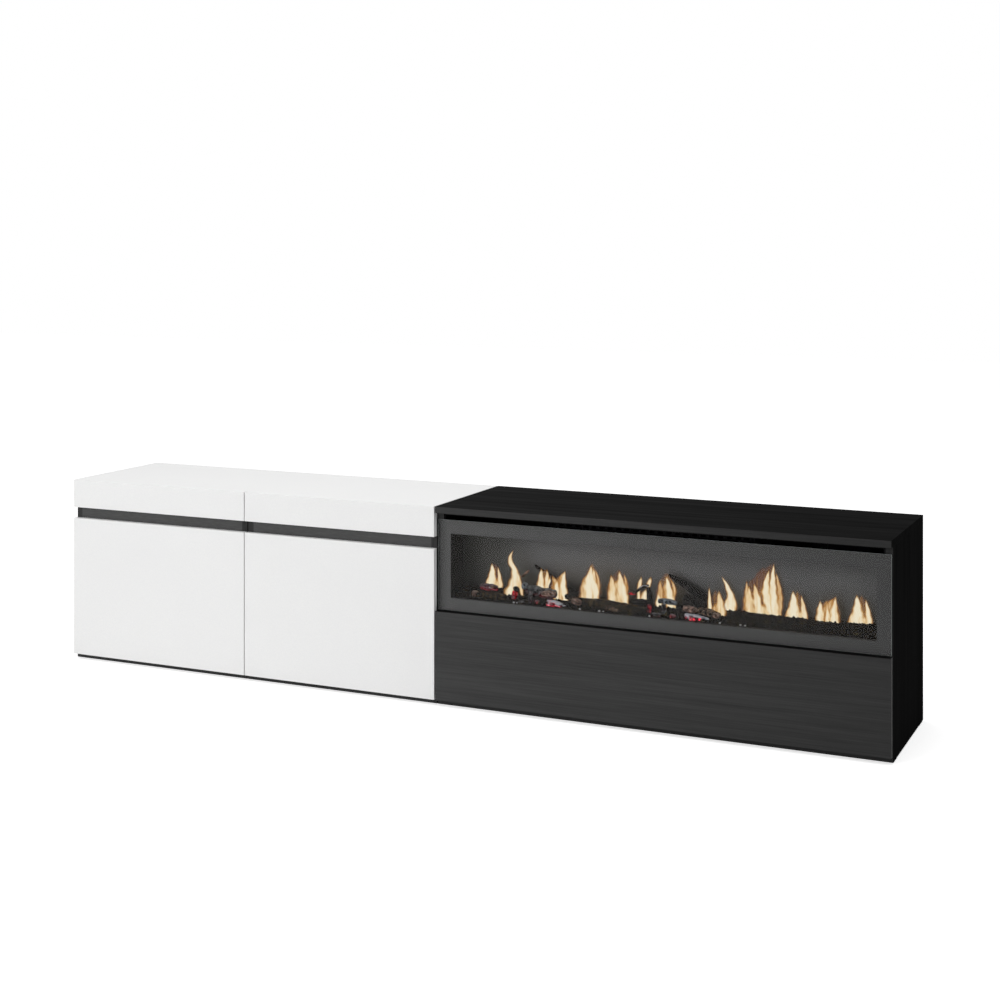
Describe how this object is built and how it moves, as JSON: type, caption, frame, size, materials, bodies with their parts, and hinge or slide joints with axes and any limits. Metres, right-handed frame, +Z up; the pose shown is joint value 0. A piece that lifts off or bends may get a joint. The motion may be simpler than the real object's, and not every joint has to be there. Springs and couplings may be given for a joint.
{
  "type": "electric fireplace",
  "caption": "Long low television cabinet: white cupboards with side-hung doors beside a black cabinet with a wide glass-fronted electric fireplace over a drawer.",
  "frame": {"origin": "centre of the footprint on the floor", "axes": "+X to the right as seen from the front, the fronts face -Y, +Z up"},
  "size_m": [2.6, 0.44, 0.575],
  "materials": {
    "white_melamine": "matt white melamine on particle board",
    "black_grain_board": "black wood-grain melamine on particle board",
    "drawer_board": "plain dark grey melamine drawer board",
    "hardboard": "black painted hardboard",
    "zinc_steel": "zinc or nickel plated pressed steel",
    "black_coated_steel": "black powder-coated sheet steel",
    "grey_coated_steel": "dark grey satin powder-coated sheet steel",
    "clear_glass": "toughened clear glass with ground edges",
    "screen_acrylic": "grey part-silvered acrylic",
    "ember_resin": "rough moulded translucent resin, painted as coals",
    "log_resin": "moulded resin painted as charred bark and ash",
    "bright_aluminium": "bright rolled aluminium",
    "black_plastic": "black moulded ABS or nylon",
    "circuit_board": "green glass-epoxy circuit board",
    "clear_rubber": "clear self-adhesive elastomer pads"
  },
  "bodies": {
    "cabinet": {"black_cabinet_back": "hardboard", "black_cabinet_bottom": "black_grain_board", "black_cabinet_left_side": "black_grain_board", "black_cabinet_right_side": "black_grain_board", "black_top": "black_grain_board", "blower_duct": "black_plastic", "blower_motor": "zinc_steel", "control_board": "circuit_board", "control_panel": "black_plastic", "ember_bed": "ember_resin", "fire_logs": "log_resin", "firebox_liner": "grey_coated_steel", "flame_screen": "screen_acrylic", "floor_glides": "black_plastic", "front_bumpers": "clear_rubber", "front_frame": "grey_coated_steel", "front_glass": "clear_glass", "groove_rails": "black_grain_board", "heater_element": "bright_aluminium", "hinge_arms": "zinc_steel", "housing_back_cover": "black_coated_steel", "inlet_gland": "black_plastic", "insert_housing": "black_coated_steel", "insert_shelf": "black_grain_board", "led_strips": "circuit_board", "left_cabinet_back": "hardboard", "left_cabinet_bottom": "black_grain_board", "left_cabinet_inner_side": "black_grain_board", "left_cabinet_outer_side": "black_grain_board", "left_fascia": "white_melamine", "linking_bolts": "zinc_steel", "middle_cabinet_back": "hardboard", "middle_cabinet_bottom": "black_grain_board", "middle_cabinet_left_side": "black_grain_board", "middle_cabinet_right_side": "black_grain_board", "middle_fascia": "white_melamine", "outlet_grille": "black_coated_steel", "push_latch_body": "black_plastic", "rotor_brackets": "black_coated_steel", "rotor_motor": "zinc_steel", "runner_cabinet_members": "zinc_steel", "shelf_supports": "black_plastic", "shelves": "black_grain_board", "white_top": "white_melamine"},
    "left_door": {"left_door": "white_melamine", "left_hinge_cups": "zinc_steel"},
    "middle_door": {"middle_door": "white_melamine", "middle_hinge_cups": "zinc_steel"},
    "drawer": {"drawer_front": "black_grain_board", "drawer_walls": "drawer_board", "drawer_bottom": "drawer_board", "runner_drawer_members": "zinc_steel"},
    "runner_middles": {"runner_middle_members": "zinc_steel"},
    "latch_plunger": {"push_latch_plunger": "black_plastic"},
    "flame_drum": {"flicker_rotor": "bright_aluminium"},
    "blower_wheel": {"blower_wheel": "black_plastic"},
    "power_rocker": {"power_rocker": "black_plastic"},
    "flame_button": {"flame_button": "black_plastic"},
    "heat_button": {"heat_button": "black_plastic"}
  },
  "joints": [
    {"name": "left_door_hinge", "type": "hinge", "parent": "cabinet", "child": "left_door", "pos_m": [-1.3, -0.22, 0.235], "axis": [0, 0, -1], "range_deg": [0, 90]},
    {"name": "middle_door_hinge", "type": "hinge", "parent": "cabinet", "child": "middle_door", "pos_m": [-0.007, -0.22, 0.235], "axis": [0, 0, 1], "range_deg": [0, 90]},
    {"name": "drawer_slide", "type": "slide", "parent": "cabinet", "child": "drawer", "axis": [0, -1, 0], "range_m": [0, 0.35]},
    {"name": "runner_slide", "type": "slide", "parent": "cabinet", "child": "runner_middles", "axis": [0, -1, 0], "range_m": [0, 0.175]},
    {"name": "latch_push", "type": "slide", "parent": "cabinet", "child": "latch_plunger", "axis": [0, 1, 0], "range_m": [0, 0.003], "stiffness_N_per_m": 400},
    {"name": "flame_drum_spin", "type": "hinge", "parent": "cabinet", "child": "flame_drum", "pos_m": [0.638, -0.078, 0.345], "axis": [1, 0, 0], "continuous": true},
    {"name": "blower_spin", "type": "hinge", "parent": "cabinet", "child": "blower_wheel", "pos_m": [0.63, -0.11, 0.5275], "axis": [1, 0, 0], "continuous": true},
    {"name": "rocker_tilt", "type": "hinge", "parent": "cabinet", "child": "power_rocker", "pos_m": [1.12, -0.192, 0.5439], "axis": [0, 0, -1], "range_deg": [0, 8]},
    {"name": "flame_button_push", "type": "slide", "parent": "cabinet", "child": "flame_button", "axis": [0, 1, 0], "range_m": [0, 0.0015], "stiffness_N_per_m": 300},
    {"name": "heat_button_push", "type": "slide", "parent": "cabinet", "child": "heat_button", "axis": [0, 1, 0], "range_m": [0, 0.0015], "stiffness_N_per_m": 300}
  ],
  "couplings": [
    {"joint": "runner_slide", "follows": "drawer_slide", "ratio": 0.5}
  ]
}
